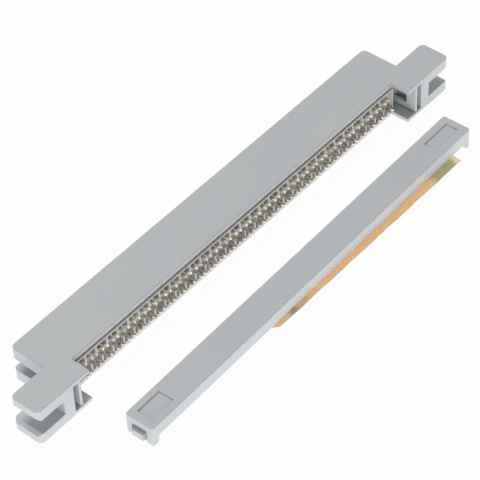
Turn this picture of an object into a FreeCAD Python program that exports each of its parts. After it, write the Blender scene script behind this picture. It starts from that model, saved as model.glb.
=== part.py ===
import FreeCAD, Part
import os

from FreeCAD import Vector

# A card-edge connector for flat cable, in two mouldings: the housing with its block of forked contacts,
# and the press-on cable cover that lies beside it. Millimetres. The housing lies on its broad side:
# X runs along the row of contacts, +Y is the card side, -Y the cable side, and Z = 0 is the surface below.
# Every piece is drawn in the housing's own frame, where y = 0 is the front of the ears, and is moved
# at the end so that the origin is the middle of the footprint.

# Contact grid
positions = 32
pitch = 2.54
row_spacing = 3.0

# Housing
housing_height = 7.5
wall = 0.88
card_side_depth = 9.63
end_margin = 1.93
end_block = 4.2
housing_corner = 1.0
housing_edge = 0.16

# Card slot
slot_mouth = 2.8
slot_root = 2.1
slot_lead = 0.15
slot_floor_y = 6.6

# Contact cells, which open into the card slot
cell_width = 1.5
cell_front_wall = 0.95

# Ears on the cable side, from the contact field outwards
ear_reach = 3.6
ear_depth = 5.95
leg_channel = 2.1
latch_wall = 0.55
relief_slot = 1.15
leg_depth = 5.2
web = 2.2
flange_reach = 5.8
flange = 2.2
flange_lead = 0.6
latch_gap = 0.3
window_front_y = 1.95
window_height = 3.0

# Contact block
block_depth = 2.9
block_lip = 0.3
block_relief = 0.2
block_relief_depth = 0.75
block_rim = 0.35
block_recess = 0.9
rib_width = 0.42
rib_reach = 0.85
rib_height = 1.7

# Contacts, stamped from strip
strip = 0.3
fork_width = 1.7
fork_tip_y = 2.45
fork_shoulder = 0.5
fork_tip_half = 0.7
fork_mouth_half = 0.38
fork_throat = 0.6
fork_slot = 0.32
fork_slot_depth = 1.6
fork_seat = 1.0
beam_width = 1.1
beam_root = 0.2
beam_crown = 0.5
beam_rise_share = 0.3
beam_touch_share = 0.8
beam_touch = 0.62
beam_tip_lift = 0.55
beam_front_gap = 0.35

# Cable cover, as it lies with its outer face up
cover_height = 4.05
cover_bar = 2.55
cover_leg = 1.33
cover_corner = 0.45
cover_edge = 0.16
cover_side_clearance = 0.03
cover_end_clearance = 0.57
comb_width = 4.2
comb_depth = 0.4
comb_end_gap = 0.5
cable_bed_half = 0.5
cable_bed_depth = 0.32
fork_clearance = 0.15
nub_reach = 0.6
nub_half_width = 1.1
nub_foot = 0.1
nub_edge = 1.35
nub_ledge = 1.95
end_pocket_half_width = 1.5
end_pocket_depth = 0.35
end_pocket_top = 2.65
leg_chamfer = 0.35
label_recess_depth = 0.25
label_margin = 1.5
near_label_length = 5.2
near_label_width = 3.1
far_label_length = 6.6
far_label_width = 2.6

# Liner of the adhesive strip on the cover
liner_thickness = 0.12
liner_width = 6.0
liner_start = -12.2
liner_end = 38.4
liner_skew = -1.0
liner_offset = -0.63
liner_corner = 1.2

# Where the cover lies
cover_shift_x = 0.45
cover_gap = 7.3
cover_turn = 1.256

# Places that follow from the sizes above
mid_z = housing_height / 2
row_half = row_spacing / 2
field_half = (positions - 1) * pitch / 2
recess_half = field_half + end_margin
housing_half = recess_half + end_block
latch_x = recess_half + leg_channel
relief_x = latch_x + latch_wall
web_x = relief_x + relief_slot
slot_x = web_x + web
ear_half = slot_x + flange_reach
card_y = ear_reach + card_side_depth
block_front_y = ear_reach - block_lip
block_back_y = block_front_y + block_depth
block_face_y = block_front_y + block_recess
seat_y = block_face_y + fork_seat
cell_front_y = card_y - cell_front_wall
cover_half = latch_x - cover_end_clearance
cover_width = housing_height - 2 * wall - 2 * cover_side_clearance
bar_z = cover_height - cover_bar
comb_z = bar_z - comb_depth
fork_groove_z = cover_height - fork_tip_y + fork_clearance
through = 1.0


def column_x(index):
    """Middle of one contact position along the housing."""
    return index * pitch - field_half


def fork_x(index, side):
    """Middle of a fork: the two rows stand half a pitch apart, one conductor each."""
    return column_x(index) - side * pitch / 4


def foot_span(side):
    """Left and right edge of a contact's foot, which steps from the fork over to the spring."""
    return sorted((-side * (pitch / 4 + fork_width / 2), side * beam_width / 2))


def box(x0, x1, y0, y1, z0, z1):
    return Part.makeBox(x1 - x0, y1 - y0, z1 - z0, Vector(x0, y0, z0))


def prism(points, travel):
    """Solid from a closed outline of corner points, pushed along a vector."""
    wire = Part.makePolygon(points + [points[0]])
    return Part.Face(wire).extrude(travel)


def strip_outline(path, thickness):
    """Outline of a bent strip of even thickness about a path of (y, z) points."""
    upper = []
    lower = []
    for i, (y, z) in enumerate(path):
        before = path[max(i - 1, 0)]
        after = path[min(i + 1, len(path) - 1)]
        back = Vector(0, y - before[0], z - before[1])
        ahead = Vector(0, after[0] - y, after[1] - z)
        back = ahead if back.Length == 0 else back
        ahead = back if ahead.Length == 0 else ahead
        along = back.normalize() + ahead.normalize()
        stretch = 2 / along.Length
        along.normalize()
        normal = Vector(0, -along.z, along.y) * (thickness / 2 * stretch)
        upper.append(Vector(0, y, z) + normal)
        lower.append(Vector(0, y, z) - normal)
    return upper + lower[::-1]


def both_sides(shape):
    """A shape and its mirror image about the middle of the housing."""
    return [shape, shape.mirror(Vector(0, 0, 0), Vector(1, 0, 0))]


def vertical_edges(shape, corners):
    """Upright edges that stand on the given (x, y) corners."""
    found = []
    for edge in shape.Edges:
        start, end = edge.Vertexes[0].Point, edge.Vertexes[-1].Point
        upright = abs(start.x - end.x) + abs(start.y - end.y) < 1e-6
        if upright and any(abs(start.x - x) + abs(start.y - y) < 1e-6 for x, y in corners):
            found.append(edge)
    return found


def level_edges(shape, z):
    """Edges that lie wholly in one level plane."""
    return [edge for edge in shape.Edges if abs(edge.BoundBox.ZMin - z) + abs(edge.BoundBox.ZMax - z) < 1e-4]


def housing_blank():
    """Outside of the housing: a T-shaped plan with rounded corners and softened edges."""
    plan = [
        Vector(-housing_half, card_y, 0),
        Vector(-housing_half, ear_depth, 0),
        Vector(-ear_half, ear_depth, 0),
        Vector(-ear_half, 0, 0),
        Vector(-recess_half, 0, 0),
        Vector(-recess_half, ear_reach, 0),
    ]
    plan += [Vector(-point.x, point.y, 0) for point in plan[::-1]]
    blank = prism(plan, Vector(0, 0, housing_height))
    rounded = []
    for x in (-1, 1):
        rounded += [(x * housing_half, card_y), (x * ear_half, ear_depth), (x * ear_half, 0)]
    blank = blank.makeFillet(housing_corner, vertical_edges(blank, rounded))
    return blank.makeChamfer(housing_edge, level_edges(blank, 0) + level_edges(blank, housing_height))


def card_slot():
    """Slot for the card, open at both ends, narrowing inwards, with a lead at its mouth."""
    profile = [
        Vector(0, slot_floor_y, mid_z - slot_root / 2),
        Vector(0, card_y - slot_lead, mid_z - slot_mouth / 2),
        Vector(0, card_y, mid_z - slot_mouth / 2 - slot_lead),
        Vector(0, card_y + through, mid_z - slot_mouth / 2 - slot_lead),
    ]
    profile += [Vector(0, point.y, housing_height - point.z) for point in profile[::-1]]
    slot = prism(profile, Vector(2 * housing_half + 2 * through, 0, 0))
    slot.translate(Vector(-housing_half - through, 0, 0))
    return slot


def contact_cells():
    """One upright cell for each position, from the contact block to the front wall."""
    cells = []
    for index in range(positions):
        x = column_x(index)
        cells.append(
            box(x - cell_width / 2, x + cell_width / 2, block_back_y, cell_front_y, wall, housing_height - wall)
        )
    return cells


def block_pocket():
    return box(-recess_half, recess_half, ear_reach - through, block_back_y, wall, housing_height - wall)


def ear_cuts():
    """Leg channel, relief slot, latch window and lever slot of the right ear."""
    top = housing_height - wall
    channel = box(recess_half, latch_x, -through, leg_depth, wall, top)
    relief = box(relief_x, web_x, -through, leg_depth, wall, top)
    gap = box(latch_x, relief_x, -through, leg_depth, wall, wall + latch_gap)
    window = box(
        latch_x, relief_x, window_front_y, leg_depth,
        mid_z - window_height / 2, mid_z + window_height / 2,
    )
    outer = ear_half + through
    mouth = flange - flange_lead
    lever_profile = [
        Vector(slot_x, 0, flange),
        Vector(ear_half - flange_lead, 0, flange),
        Vector(ear_half, 0, mouth),
        Vector(outer, 0, mouth),
    ]
    lever_profile += [Vector(point.x, 0, housing_height - point.z) for point in lever_profile[::-1]]
    lever = prism(lever_profile, Vector(0, ear_depth + 2 * through, 0))
    lever.translate(Vector(0, -through, 0))
    return [channel, relief, gap, window, lever]


def housing():
    """The moulded housing in one piece."""
    cuts = [card_slot(), block_pocket()] + contact_cells()
    for cut in ear_cuts():
        cuts += both_sides(cut)
    return housing_blank().cut(cuts).removeSplitter()


def block_blank():
    """Outside of the contact block: a bar with a rim round its recessed face, stepped back from the plates."""
    top = housing_height - wall
    block = box(-recess_half, recess_half, block_front_y, block_back_y, wall, top)
    relief_y = block_front_y + block_lip + block_relief_depth
    rim = block_relief + block_rim
    cuts = [box(-recess_half + block_rim, recess_half - block_rim, 0, block_face_y, wall + rim, top - rim)]
    cuts.append(box(-recess_half, recess_half, 0, relief_y, 0, wall + block_relief))
    cuts.append(box(-recess_half, recess_half, 0, relief_y, top - block_relief, housing_height))
    return block.cut(cuts)


def contact_slots(side):
    """Slots through the block for one row: wide for the fork's root, stepped over for its foot."""
    slots = []
    z = mid_z + side * row_half
    for index in range(positions):
        x = fork_x(index, side)
        slots.append(box(x - fork_width / 2, x + fork_width / 2, 0, seat_y, z - strip / 2, z + strip / 2))
        left, right = (column_x(index) + edge for edge in foot_span(side))
        slots.append(box(left, right, seat_y, block_back_y + through, z - strip / 2, z + strip / 2))
    return slots


def contact_ribs(side):
    """Ribs between the forks of one row, which part the conductors of the cable."""
    ribs = []
    z = mid_z + side * row_half
    for index in range(positions - 1):
        x = fork_x(index, side) + pitch / 2
        rib = box(x - rib_width / 2, x + rib_width / 2, block_face_y - rib_reach, block_face_y, 0, rib_height)
        rib.translate(Vector(0, 0, z - rib_height / 2))
        ribs.append(rib)
    return ribs


def contact_block():
    """Insulator that carries the contacts."""
    block = block_blank().fuse(contact_ribs(-1) + contact_ribs(1))
    return block.cut(contact_slots(-1) + contact_slots(1)).removeSplitter()


def fork_plate(side):
    """Flat of one contact: a fork that cuts into one conductor, stepping over to the spring's line."""
    centre = -side * pitch / 4
    half = fork_width / 2
    shoulder_y = fork_tip_y + fork_shoulder
    throat_y = fork_tip_y + fork_throat
    root_y = fork_tip_y + fork_slot_depth
    slot = fork_slot / 2
    outline = [
        Vector(centre + slot, root_y, 0),
        Vector(centre + slot, throat_y, 0),
        Vector(centre + fork_mouth_half, fork_tip_y, 0),
        Vector(centre + fork_tip_half, fork_tip_y, 0),
        Vector(centre + half, shoulder_y, 0),
        Vector(centre + half, seat_y, 0),
        Vector(centre - half, seat_y, 0),
        Vector(centre - half, shoulder_y, 0),
        Vector(centre - fork_tip_half, fork_tip_y, 0),
        Vector(centre - fork_mouth_half, fork_tip_y, 0),
        Vector(centre - slot, throat_y, 0),
        Vector(centre - slot, root_y, 0),
    ]
    plate = prism(outline, Vector(0, 0, strip))
    left, right = foot_span(side)
    plate = plate.fuse(box(left, right, seat_y, block_back_y, 0, strip))
    plate.translate(Vector(0, 0, mid_z + side * row_half - strip / 2))
    return plate


def spring_beam(side):
    """Bowed spring of one contact, which presses on the card."""
    front = cell_front_y - beam_front_gap
    length = front - block_back_y
    rise = row_half + beam_crown
    touch = beam_touch + strip / 2
    heights = [
        (block_back_y, row_half),
        (block_back_y + beam_root, row_half),
        (block_back_y + beam_rise_share * length, rise),
        (block_back_y + beam_touch_share * length, touch),
        (front, touch + beam_tip_lift),
    ]
    path = [(y, mid_z + side * height) for y, height in heights]
    beam = prism(strip_outline(path, strip), Vector(beam_width, 0, 0))
    beam.translate(Vector(-beam_width / 2, 0, 0))
    return beam


def contact(side):
    """One stamped contact at the middle of its position: fork, seat and spring."""
    return fork_plate(side).fuse(spring_beam(side)).removeSplitter()


def contact_pair(index):
    """The upper and the lower contact of one position."""
    pair = []
    for side in (-1, 1):
        piece = contact(side)
        piece.translate(Vector(column_x(index), 0, 0))
        pair.append(piece)
    return Part.makeCompound(pair)


def cover_blank():
    """Bar and legs of the cover, with rounded corners and softened outer edges."""
    half_width = cover_width / 2
    blank = box(-cover_half, cover_half, -half_width, half_width, 0, cover_height)
    corners = [(x * cover_half, y * half_width) for x in (-1, 1) for y in (-1, 1)]
    blank = blank.makeFillet(cover_corner, vertical_edges(blank, corners))
    blank = blank.makeChamfer(cover_edge, level_edges(blank, cover_height))
    leg_x = cover_half - cover_leg
    return blank.cut(box(-leg_x, leg_x, -cover_width, cover_width, -through, bar_z))


def leg_chamfers():
    """Wedge off the inner foot of each leg, so that it enters its channel."""
    leg_x = cover_half - cover_leg
    profile = [
        Vector(leg_x, -cover_width, 0),
        Vector(leg_x + leg_chamfer, -cover_width, 0),
        Vector(leg_x, -cover_width, leg_chamfer),
    ]
    return both_sides(prism(profile, Vector(0, 2 * cover_width, 0)))


def end_pockets():
    """Shallow pocket in the outer face of each leg, around its latch nub."""
    x = cover_half - end_pocket_depth
    pocket = box(
        x, cover_half + through, -end_pocket_half_width, end_pocket_half_width, -through, end_pocket_top
    )
    return both_sides(pocket)


def latch_nubs():
    """Wedge on each leg that catches in the window of the housing."""
    root = cover_half - end_pocket_depth
    profile = [
        Vector(root, -nub_half_width, nub_foot),
        Vector(cover_half + nub_reach, -nub_half_width, nub_ledge - nub_edge),
        Vector(cover_half + nub_reach, -nub_half_width, nub_ledge),
        Vector(root, -nub_half_width, nub_ledge),
    ]
    return both_sides(prism(profile, Vector(0, 2 * nub_half_width, 0)))


def cable_comb():
    """Comb below the bar: a V-shaped bed for each conductor of the flat cable."""
    half = cover_half - cover_leg - comb_end_gap
    comb = box(-half, half, -comb_width / 2, comb_width / 2, comb_z, bar_z)
    beds = []
    for index in range(positions):
        for side in (-1, 1):
            x = fork_x(index, side)
            profile = [
                Vector(x - cable_bed_half, -comb_width, comb_z),
                Vector(x, -comb_width, comb_z + cable_bed_depth),
                Vector(x + cable_bed_half, -comb_width, comb_z),
            ]
            beds.append(prism(profile, Vector(0, 2 * comb_width, 0)))
    return comb.cut(beds)


def fork_grooves():
    """Two long grooves in the comb that take the points of both rows of forks."""
    half_length = field_half + pitch
    half = strip / 2 + fork_clearance
    grooves = []
    for side in (-1, 1):
        y = side * row_half
        grooves.append(box(-half_length, half_length, y - half, y + half, comb_z - through, fork_groove_z))
    return grooves


def label_recesses():
    """Shallow rectangles near both ends of the outer face, left blank."""
    floor = cover_height - label_recess_depth
    top = cover_height + through
    outer = cover_half - label_margin
    near = box(
        -outer, -outer + near_label_length, -near_label_width / 2, near_label_width / 2, floor, top
    )
    far = box(outer - far_label_length, outer, -far_label_width / 2, far_label_width / 2, floor, top)
    return [near, far]


def cover():
    """The moulded cable cover in its own frame, outer face up."""
    body = cover_blank().fuse([cable_comb()])
    body = body.cut(end_pockets() + leg_chamfers() + fork_grooves() + label_recesses())
    return body.fuse(latch_nubs()).removeSplitter()


def liner():
    """Paper liner on the adhesive below the comb, a little askew."""
    sheet = box(
        liner_start, liner_end, -liner_width / 2, liner_width / 2, comb_z - liner_thickness, comb_z
    )
    near_corners = [(liner_start, side * liner_width / 2) for side in (-1, 1)]
    sheet = sheet.makeFillet(liner_corner, vertical_edges(sheet, near_corners))
    middle = Vector((liner_start + liner_end) / 2, 0, 0)
    sheet.rotate(middle, Vector(0, 0, 1), liner_skew)
    sheet.translate(Vector(0, liner_offset, 0))
    return sheet


def lay_beside(shape):
    """Moves a piece of the cover to where the cover lies, in front of the ears."""
    turned = shape.copy()
    turned.rotate(Vector(0, 0, 0), Vector(0, 0, 1), cover_turn)
    turned.translate(Vector(cover_shift_x, -cover_gap - cover_width / 2, 0))
    return turned


def footprint_middle(shapes):
    """Middle of the ground that the pieces cover together."""
    bounds = Part.makeCompound(shapes).BoundBox
    return Vector((bounds.XMin + bounds.XMax) / 2, (bounds.YMin + bounds.YMax) / 2, 0)


def nodes():
    """Every piece by name, in its place, with the origin in the middle of the footprint."""
    pieces = {"housing": housing(), "contact_block": contact_block()}
    for index in range(positions):
        pieces[f"contact_pair_{index + 1:02d}"] = contact_pair(index)
    pieces["cover"] = lay_beside(cover())
    pieces["adhesive_liner"] = lay_beside(liner())
    middle = footprint_middle(list(pieces.values()))
    for shape in pieces.values():
        shape.translate(-middle)
    return pieces


def main():
    os.makedirs("parts", exist_ok=True)
    for name, shape in nodes().items():
        shape.exportStep(f"parts/{name}.step")
        print(name, len(shape.Solids), shape.isValid(), round(shape.Volume, 2))


main()
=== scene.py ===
"""A card-edge connector for flat cable and its loose cable cover, dressed for a photograph.

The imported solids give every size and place. This script gives each one its finish, lays the paper liner
as a thin drooping strip, and sets up the table, the lamps and the camera. All lengths are in metres.
"""
import logging
from dataclasses import dataclass
from enum import Enum
from typing import Any, Optional, Sequence, Union

import bpy
import numpy as np
from mathutils import Matrix, Vector


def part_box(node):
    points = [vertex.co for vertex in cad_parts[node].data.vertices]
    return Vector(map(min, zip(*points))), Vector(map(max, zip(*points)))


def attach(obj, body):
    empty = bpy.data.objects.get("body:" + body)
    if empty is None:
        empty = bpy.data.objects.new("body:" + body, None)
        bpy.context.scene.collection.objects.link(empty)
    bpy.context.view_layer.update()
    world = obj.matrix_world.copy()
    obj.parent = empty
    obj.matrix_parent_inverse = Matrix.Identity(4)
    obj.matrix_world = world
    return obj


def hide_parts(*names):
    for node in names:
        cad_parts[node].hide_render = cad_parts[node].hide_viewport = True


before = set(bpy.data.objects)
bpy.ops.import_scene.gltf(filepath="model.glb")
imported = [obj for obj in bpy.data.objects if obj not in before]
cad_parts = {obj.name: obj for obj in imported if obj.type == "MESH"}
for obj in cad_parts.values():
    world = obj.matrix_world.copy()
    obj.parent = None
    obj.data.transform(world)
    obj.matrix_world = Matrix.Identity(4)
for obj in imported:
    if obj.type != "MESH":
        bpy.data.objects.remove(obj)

logging.basicConfig(level=logging.INFO, format="%(message)s")
log = logging.getLogger("connector")

MM = 0.001
MIX_FIRST, MIX_SECOND, MIX_RESULT = 6, 7, 2  # the Mix node's colour sockets, by number
Colour = tuple[float, float, float]
Span = tuple[float, float]
WHITE: Colour = (1.0, 1.0, 1.0)


class Layer(Enum):
    """What a surface pattern looks like. Each value is how much the finer layers of the noise count."""

    CLOUDS = 0.5
    GRAIN = 0.7


class Signal:
    """A number in a shader graph that Python's arithmetic can be used on."""

    def __init__(self, graph: "Graph", socket: bpy.types.NodeSocket) -> None:
        """Wraps one output socket."""
        self.graph = graph
        self.socket = socket

    def math(self, operation: str, first: Any, second: Any, clamp: bool = False) -> "Signal":
        """Adds one Math node.

        Args:
            operation: the Math node's operation.
            first: its first value, a number or a signal.
            second: its second value.
            clamp: whether the result is kept between 0 and 1.

        Returns:
            The node's result.
        """
        settings = {"operation": operation, "use_clamp": clamp}
        node = self.graph.node("ShaderNodeMath", settings, {0: first, 1: second})
        return Signal(self.graph, node.outputs[0])

    def __add__(self, other: Any) -> "Signal":
        """This plus another value."""
        return self.math("ADD", self, other)

    def __radd__(self, other: Any) -> "Signal":
        """A number plus this."""
        return self.math("ADD", other, self)

    def __sub__(self, other: Any) -> "Signal":
        """This less another value."""
        return self.math("SUBTRACT", self, other)

    def __rsub__(self, other: Any) -> "Signal":
        """A number less this."""
        return self.math("SUBTRACT", other, self)

    def __mul__(self, other: Any) -> "Signal":
        """This times another value."""
        return self.math("MULTIPLY", self, other)

    def __rmul__(self, other: Any) -> "Signal":
        """A number times this."""
        return self.math("MULTIPLY", other, self)

    def band(self, low: float, high: float) -> "Signal":
        """Rises from 0 at low to 1 at high, and stays within those two."""
        return self.math("MULTIPLY", self - low, 1.0 / (high - low), clamp=True)


Value = Union[float, Sequence[float], Signal, bpy.types.NodeSocket]


class Graph:
    """The node tree of one material or of the world."""

    def __init__(self, tree: bpy.types.NodeTree) -> None:
        """Empties the tree."""
        self.tree = tree
        tree.nodes.clear()

    def node(self, kind: str, settings: dict[str, Any], inputs: dict[Any, Value]) -> bpy.types.Node:
        """Adds a node of any type.

        Args:
            kind: the node's type name.
            settings: properties of the node, set before its sockets.
            inputs: socket name or number to a value, a signal or a socket.

        Returns:
            The new node.
        """
        made = self.tree.nodes.new(kind)
        for name, setting in settings.items():
            setattr(made, name, setting)
        for key, value in inputs.items():
            source = value.socket if isinstance(value, Signal) else value
            if isinstance(source, bpy.types.NodeSocket):
                self.tree.links.new(source, made.inputs[key])
            else:
                made.inputs[key].default_value = source
        return made

    def place(self) -> bpy.types.NodeSocket:
        """The point being shaded, in the part's own metres."""
        return self.node("ShaderNodeTexCoord", {}, {}).outputs["Object"]

    def along(self, axis: int) -> Signal:
        """One coordinate of the point being shaded."""
        split = self.node("ShaderNodeSeparateXYZ", {}, {0: self.place()})
        return Signal(self, split.outputs[axis])

    def noise(self, layer: Layer, size: float, detail: float = 3.0) -> Signal:
        """A random pattern.

        Args:
            layer: soft clouds, or hard-edged grain.
            size: how large one patch is.
            detail: how many finer layers are added.

        Returns:
            A value from 0 to 1.
        """
        inputs = {"Vector": self.place(), "Scale": 1.0 / size, "Detail": detail, "Roughness": layer.value}
        return Signal(self, self.node("ShaderNodeTexNoise", {}, inputs).outputs["Fac"])

    def mix(self, factor: Value, first: Value, second: Value) -> bpy.types.NodeSocket:
        """A colour between two colours."""
        inputs = {0: factor, MIX_FIRST: first, MIX_SECOND: second}
        return self.node("ShaderNodeMix", {"data_type": "RGBA"}, inputs).outputs[MIX_RESULT]

    def mix_shaders(
        self, factor: Value, first: bpy.types.NodeSocket, second: bpy.types.NodeSocket
    ) -> bpy.types.NodeSocket:
        """A shader between two shaders."""
        return self.node("ShaderNodeMixShader", {}, {0: factor, 1: first, 2: second}).outputs[0]

    def bump(
        self, height: Signal, depth: float, strength: float, normal: Optional[Value] = None
    ) -> bpy.types.NodeSocket:
        """Surface relief from a height.

        Args:
            height: the pattern, from 0 to 1.
            depth: what a height of 1 stands for, in metres.
            strength: how much of the relief shows.
            normal: a normal that the relief is added to, or none for the surface's own.

        Returns:
            The new normal.
        """
        inputs: dict[Any, Value] = {"Strength": strength, "Distance": depth, "Height": height}
        if normal is not None:
            inputs["Normal"] = normal
        return self.node("ShaderNodeBump", {}, inputs).outputs["Normal"]

    def rounded(self, radius: float, rays: int = 8) -> bpy.types.NodeSocket:
        """Normals that are rounded over near an edge."""
        return self.node("ShaderNodeBevel", {"samples": rays}, {"Radius": radius}).outputs["Normal"]

    def uneven(self, pattern: Signal, middle: float, swing: float) -> Signal:
        """A value that follows a pattern from half a swing below its middle to half a swing above."""
        return pattern * swing + (middle - swing / 2)

    def surface(self, shader: bpy.types.NodeSocket) -> None:
        """Ends the tree in a surface shader."""
        self.node("ShaderNodeOutputMaterial", {}, {"Surface": shader})


def rgba(colour: Colour) -> tuple[float, float, float, float]:
    """A colour with full cover."""
    return (*colour, 1.0)


@dataclass(frozen=True)
class MouldedPlastic:
    """Satin plastic from a mould: nearly even colour, a fine eroded grain and slightly softened edges."""

    name: str
    colour: Colour
    deeper: Colour
    roughness: float = 0.46
    roughness_swing: float = 0.1
    specular: float = 0.4
    cloud: float = 14 * MM
    cloud_span: Span = (0.35, 0.65)
    grain: float = 0.16 * MM
    grain_detail: float = 2.0
    grain_depth: float = 0.005 * MM
    grain_strength: float = 0.5
    edge: float = 0.1 * MM

    def material(self) -> bpy.types.Material:
        """Makes the material."""
        made = bpy.data.materials.new(self.name)
        made.use_nodes = True
        graph = Graph(made.node_tree)
        clouds = graph.noise(Layer.CLOUDS, self.cloud)
        grain = graph.noise(Layer.GRAIN, self.grain, self.grain_detail)
        shader = graph.node("ShaderNodeBsdfPrincipled", {}, {
            "Base Color": graph.mix(clouds.band(*self.cloud_span), rgba(self.deeper), rgba(self.colour)),
            "Roughness": graph.uneven(clouds, self.roughness, self.roughness_swing),
            "Specular IOR Level": self.specular,
            "Normal": graph.bump(grain, self.grain_depth, self.grain_strength, graph.rounded(self.edge)),
        })
        graph.surface(shader.outputs[0])
        return made


@dataclass(frozen=True)
class StampedMetal:
    """Plated strip: a bright metal, cloudy where the plating is thin, with fine marks from the die."""

    name: str
    colour: Colour
    stain: Colour
    roughness: float = 0.42
    roughness_swing: float = 0.16
    cloud: float = 1.1 * MM
    cloud_span: Span = (0.4, 0.7)
    marks: float = 0.12 * MM
    mark_depth: float = 0.01 * MM
    mark_strength: float = 0.5
    edge: float = 0.06 * MM

    def material(self) -> bpy.types.Material:
        """Makes the material."""
        made = bpy.data.materials.new(self.name)
        made.use_nodes = True
        graph = Graph(made.node_tree)
        clouds = graph.noise(Layer.CLOUDS, self.cloud)
        marks = graph.noise(Layer.GRAIN, self.marks)
        shader = graph.node("ShaderNodeBsdfPrincipled", {}, {
            "Base Color": graph.mix(clouds.band(*self.cloud_span), rgba(self.colour), rgba(self.stain)),
            "Metallic": 1.0,
            "Roughness": graph.uneven(marks, self.roughness, self.roughness_swing),
            "Normal": graph.bump(marks, self.mark_depth, self.mark_strength, graph.rounded(self.edge)),
        })
        graph.surface(shader.outputs[0])
        return made


@dataclass(frozen=True)
class Tone:
    """One colour of the liner, and where along X it begins."""

    start: float
    colour: Colour


@dataclass(frozen=True)
class LinerPaper:
    """Translucent release paper over an adhesive whose colour changes along its length."""

    name: str
    tones: tuple[Tone, ...]
    speck: Colour
    ochre: Colour
    blend: float = 0.9 * MM
    drift: float = 2.4 * MM
    patch: float = 1.8 * MM
    mottle: float = 2.6 * MM
    mottle_span: Span = (0.48, 0.62)
    mottle_share: float = 0.6
    fibre: float = 0.22 * MM
    fibre_depth: float = 0.02 * MM
    fibre_strength: float = 0.3
    speck_span: Span = (0.45, 0.75)
    speck_share: float = 0.45
    roughness: float = 0.6
    roughness_swing: float = 0.2
    specular: float = 0.3
    glow: float = 0.6
    thinness: float = 0.4

    def backlit(self, graph: Graph, tone: Tone) -> bpy.types.NodeSocket:
        """One tone as light from behind shows it, paler by the paper's thinness."""
        red, green, blue = (part + self.thinness * (1.0 - part) for part in tone.colour)
        return graph.node("ShaderNodeBsdfTranslucent", {}, {"Color": rgba((red, green, blue))}).outputs[0]

    def toned(self, graph: Graph, travel: Signal) -> tuple[Value, bpy.types.NodeSocket]:
        """Runs through the tones along the strip.

        Args:
            graph: the material's graph.
            travel: the place along X.

        Returns:
            The colour there, and the shader for the light that comes through there.
        """
        colour: Value = rgba(self.tones[0].colour)
        through = self.backlit(graph, self.tones[0])
        for tone in self.tones[1:]:
            share = travel.band(tone.start, tone.start + self.blend)
            colour = graph.mix(share, colour, rgba(tone.colour))
            through = graph.mix_shaders(share, through, self.backlit(graph, tone))
        return colour, through

    def material(self) -> bpy.types.Material:
        """Makes the material.

        The tones' borders wander with a soft pattern, an ochre cast comes and goes, and fibres show as
        specks. Light from behind shines through, paler than the paper's own colour.
        """
        made = bpy.data.materials.new(self.name)
        made.use_nodes = True
        graph = Graph(made.node_tree)
        patches = graph.noise(Layer.CLOUDS, self.patch)
        fibres = graph.noise(Layer.GRAIN, self.fibre)
        mottle = graph.noise(Layer.CLOUDS, self.mottle)
        colour, through = self.toned(graph, graph.along(0) + (patches - 0.5) * self.drift)
        mottled = graph.mix(mottle.band(*self.mottle_span) * self.mottle_share, colour, rgba(self.ochre))
        specks = fibres.band(*self.speck_span) * self.speck_share
        shader = graph.node("ShaderNodeBsdfPrincipled", {}, {
            "Base Color": graph.mix(specks, mottled, rgba(self.speck)),
            "Roughness": graph.uneven(fibres, self.roughness, self.roughness_swing),
            "Specular IOR Level": self.specular,
            "Normal": graph.bump(fibres, self.fibre_depth, self.fibre_strength),
        })
        graph.surface(graph.mix_shaders(self.glow, shader.outputs[0], through))
        return made


@dataclass(frozen=True)
class Finishes:
    """Every finish on the connector."""

    housing: MouldedPlastic = MouldedPlastic("housing_grey", (0.5, 0.517, 0.53), (0.484, 0.502, 0.515))
    cover: MouldedPlastic = MouldedPlastic("cover_grey", (0.497, 0.516, 0.53), (0.481, 0.5, 0.513))
    block: MouldedPlastic = MouldedPlastic("block_grey", (0.5, 0.5, 0.49), (0.46, 0.46, 0.45))
    contact: StampedMetal = StampedMetal("plated_contact", (0.72, 0.68, 0.61), (0.44, 0.38, 0.31))
    liner: LinerPaper = LinerPaper("liner_paper", (
        Tone(-12.0 * MM, (0.79, 0.54, 0.33)),
        Tone(-8.5 * MM, (0.36, 0.3, 0.15)),
        Tone(-6.7 * MM, (0.66, 0.48, 0.22)),
        Tone(-3.6 * MM, (0.84, 0.56, 0.27)),
        Tone(31.2 * MM, (0.43, 0.42, 0.19)),
        Tone(36.9 * MM, (0.9, 0.72, 0.54)),
    ), (0.5, 0.36, 0.2), (0.68, 0.52, 0.15))


def dress(piece: bpy.types.Object, material: bpy.types.Material) -> None:
    """Gives a piece one material all over."""
    piece.data.materials.clear()
    piece.data.materials.append(material)


def grid_mesh(name: str, points: np.ndarray) -> bpy.types.Object:
    """Makes an object from a grid of points.

    Args:
        name: the object's name.
        points: array of rows by columns by 3. The faces look along the step from row to row crossed with
            the step from column to column.

    Returns:
        The object, at the origin.
    """
    rows, columns = points.shape[:2]
    corner = np.arange(rows * columns).reshape(rows, columns)
    quads = np.stack([corner[:-1, :-1], corner[1:, :-1], corner[1:, 1:], corner[:-1, 1:]], axis=-1)
    mesh = bpy.data.meshes.new(name)
    mesh.from_pydata(points.reshape(-1, 3).tolist(), [], quads.reshape(-1, 4).tolist())
    mesh.polygons.foreach_set("use_smooth", np.ones(len(mesh.polygons), bool))
    mesh.update()
    made = bpy.data.objects.new(name, mesh)
    bpy.context.scene.collection.objects.link(made)
    return made


@dataclass
class Moulding:
    """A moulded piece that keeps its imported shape."""

    node: str
    finish: MouldedPlastic

    def build(self) -> None:
        """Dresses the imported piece."""
        dress(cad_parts[self.node], self.finish.material())
        log.info("%s dressed in %s", self.node, self.finish.name)


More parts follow.
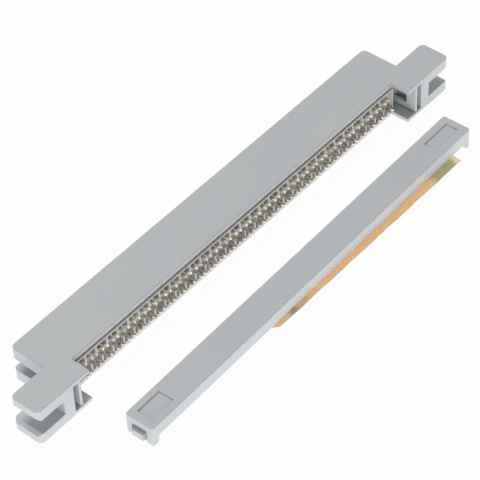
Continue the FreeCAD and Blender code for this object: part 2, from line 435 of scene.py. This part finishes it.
@dataclass
class ContactRows:
    """The stamped contacts, all in one finish."""

    finish: StampedMetal
    prefix: str = "contact_pair_"

    def build(self) -> None:
        """Dresses every contact."""
        material = self.finish.material()
        names = sorted(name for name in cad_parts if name.startswith(self.prefix))
        for name in names:
            dress(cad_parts[name], material)
        log.info("%d contact pairs dressed in %s", len(names), self.finish.name)


@dataclass
class AdhesiveLiner:
    """The paper strip on the cover's adhesive: thin, cut a little unevenly, and hanging at its outer edge."""

    finish: LinerPaper
    node: str = "adhesive_liner"
    thickness: float = 0.09 * MM
    near_reach: float = 0.35 * MM
    far_cut: float = 0.3 * MM
    near_overhang: float = 0.3 * MM
    far_overhang: float = 0.1 * MM
    corner: float = 0.9 * MM
    unevenness: float = 0.12 * MM
    droop: float = 0.18 * MM
    lift: float = 0.02 * MM
    columns: int = 260
    rows: int = 16
    long_wave: float = 9.0 * MM
    long_share: float = 0.3
    short_wave: float = 3.7 * MM
    short_share: float = 0.2
    lean: float = 0.35

    def sheet(self) -> np.ndarray:
        """Works out the strip's upper face.

        Across, a point goes from the outer edge to the inner edge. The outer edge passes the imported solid,
        more so at the near end, is drawn in by two sine waves, and is cut off slantwise at the near corner.
        The strip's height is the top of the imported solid, less a ripple whose crests lean across the strip,
        and less a droop that grows with the square of the way out from the inner edge.

        Returns:
            The points, rows across the strip by columns along it.
        """
        low, high = (np.array(corner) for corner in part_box(self.node))
        along = np.linspace(0.0, 1.0, self.columns)
        across = np.linspace(0.0, 1.0, self.rows)
        start = low[0] - self.near_reach
        x = start + along * (high[0] - self.far_cut - start)
        travel = x - start
        wave = 0.5 + self.long_share * np.sin(2 * np.pi * travel / self.long_wave)
        wave += self.short_share * np.sin(2 * np.pi * travel / self.short_wave)
        overhang = self.near_overhang + along * (self.far_overhang - self.near_overhang)
        inset = self.unevenness * wave + np.clip(self.corner - travel, 0.0, self.corner)
        outer = low[1] - overhang + inset
        inner = np.full_like(outer, high[1])
        y = outer + across[:, None] * (inner - outer)
        turns = x / self.long_wave + self.lean * across[:, None]
        ripple = self.lift * (0.5 + 0.5 * np.sin(2 * np.pi * turns))
        z = high[2] - ripple - self.droop * (1.0 - across[:, None]) ** 2
        return np.stack([np.broadcast_to(x, y.shape), y, z], axis=-1)

    def build(self) -> bpy.types.Object:
        """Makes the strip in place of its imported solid.

        Returns:
            The strip.
        """
        strip = grid_mesh("liner_strip", self.sheet()[::-1])
        wall = strip.modifiers.new("thickness", "SOLIDIFY")
        wall.thickness = self.thickness
        wall.offset = -1.0
        dress(strip, self.finish.material())
        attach(strip, "root")
        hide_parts(self.node)
        log.info("%s laid, %d by %d points", strip.name, self.columns, self.rows)
        return strip


@dataclass(frozen=True)
class Lamp:
    """A square soft lamp."""

    name: str
    place: tuple[float, float, float]
    size: float
    power: float


@dataclass
class Studio:
    """White table and surroundings, a soft lamp behind the housing and a low one in front, and the camera."""

    table_half: float = 1.5
    table_points: int = 5
    table_drop: float = 0.02 * MM
    table_colour: Colour = (0.92, 0.92, 0.92)
    shadow_share: float = 0.05
    table_glow: float = 0.8
    table_strength: float = 1.8
    sky: float = 0.35
    lamps: tuple[Lamp, ...] = (
        Lamp("rear_lamp", (0.12, 0.38, 0.72), 0.42, 3.35),
        Lamp("front_lamp", (-0.45, -0.5, 0.1), 0.35, 1.8),
    )
    camera_place: tuple[float, float, float] = (-0.2101, -0.1851, 0.28676)
    camera_target: tuple[float, float, float] = (0.00066, 0.005, 0.0)
    camera_roll: float = 2.82
    lens: float = 178.98
    sensor: float = 36.0
    clip: Span = (0.01, 20.0)

    def table(self) -> bpy.types.Object:
        """Makes the table: white to the camera, with a faint shadow, and a soft light to all else."""
        side = np.linspace(-self.table_half, self.table_half, self.table_points)
        x, y = np.meshgrid(side, side, indexing="xy")
        points = np.stack([x, y, np.full_like(x, -self.table_drop)], axis=-1)
        made = grid_mesh("table", points[::-1])
        material = bpy.data.materials.new("white_table")
        material.use_nodes = True
        graph = Graph(material.node_tree)
        rays = graph.node("ShaderNodeLightPath", {}, {})
        seen = Signal(graph, rays.outputs["Is Camera Ray"])
        strength = seen * (1.0 - self.table_strength) + self.table_strength
        white = graph.node("ShaderNodeEmission", {}, {"Color": rgba(WHITE), "Strength": strength})
        matt = graph.node("ShaderNodeBsdfDiffuse", {}, {"Color": rgba(self.table_colour)})
        share = seen * (1.0 - self.shadow_share - self.table_glow) + self.table_glow
        graph.surface(graph.mix_shaders(share, matt.outputs[0], white.outputs[0]))
        material.cycles.emission_sampling = "NONE"
        dress(made, material)
        return made

    def world(self) -> None:
        """White to the camera and in reflections, and a dimmer even light otherwise."""
        made = bpy.data.worlds.new("studio")
        bpy.context.scene.world = made
        made.use_nodes = True
        graph = Graph(made.node_tree)
        rays = graph.node("ShaderNodeLightPath", {}, {})
        seen = Signal(graph, rays.outputs["Is Camera Ray"])
        mirrored = Signal(graph, rays.outputs["Is Glossy Ray"])
        strength = (seen + mirrored).band(0.0, 1.0) * (1.0 - self.sky) + self.sky
        light = graph.node("ShaderNodeBackground", {}, {"Color": rgba(WHITE), "Strength": strength})
        graph.node("ShaderNodeOutputWorld", {}, {"Surface": light.outputs[0]})

    def lamp(self, lamp: Lamp) -> None:
        """Hangs a soft lamp, turned towards the connector."""
        data = bpy.data.lights.new(lamp.name, "AREA")
        data.shape = "SQUARE"
        data.size = lamp.size
        data.energy = lamp.power
        made = bpy.data.objects.new(lamp.name, data)
        bpy.context.scene.collection.objects.link(made)
        place = Vector(lamp.place)
        made.location = place
        made.rotation_euler = (-place).to_track_quat("-Z", "Y").to_euler()

    def camera(self) -> None:
        """Sets the camera at the photograph's angle."""
        data = bpy.data.cameras.new("camera")
        data.lens = self.lens
        data.sensor_width = self.sensor
        data.clip_start, data.clip_end = self.clip
        made = bpy.data.objects.new("camera", data)
        bpy.context.scene.collection.objects.link(made)
        place = Vector(self.camera_place)
        look = (Vector(self.camera_target) - place).normalized()
        turn = look.to_track_quat("-Z", "Y").to_matrix().to_4x4()
        roll = Matrix.Rotation(np.radians(-self.camera_roll), 4, "Z")
        made.matrix_world = Matrix.Translation(place) @ turn @ roll
        bpy.context.scene.camera = made

    def build(self) -> None:
        """Sets up everything around the connector."""
        self.table()
        self.world()
        for lamp in self.lamps:
            self.lamp(lamp)
        self.camera()
        bpy.context.scene.view_settings.view_transform = "Standard"
        log.info("studio ready")


def main() -> None:
    """Dresses the connector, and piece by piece."""
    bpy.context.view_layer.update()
    finishes = Finishes()
    Moulding("housing", finishes.housing).build()
    Moulding("contact_block", finishes.block).build()
    ContactRows(finishes.contact).build()
    Moulding("cover", finishes.cover).build()
    AdhesiveLiner(finishes.liner).build()
    Studio().build()
    log.info("boxes written")


if __name__ == "__main__":
    main()
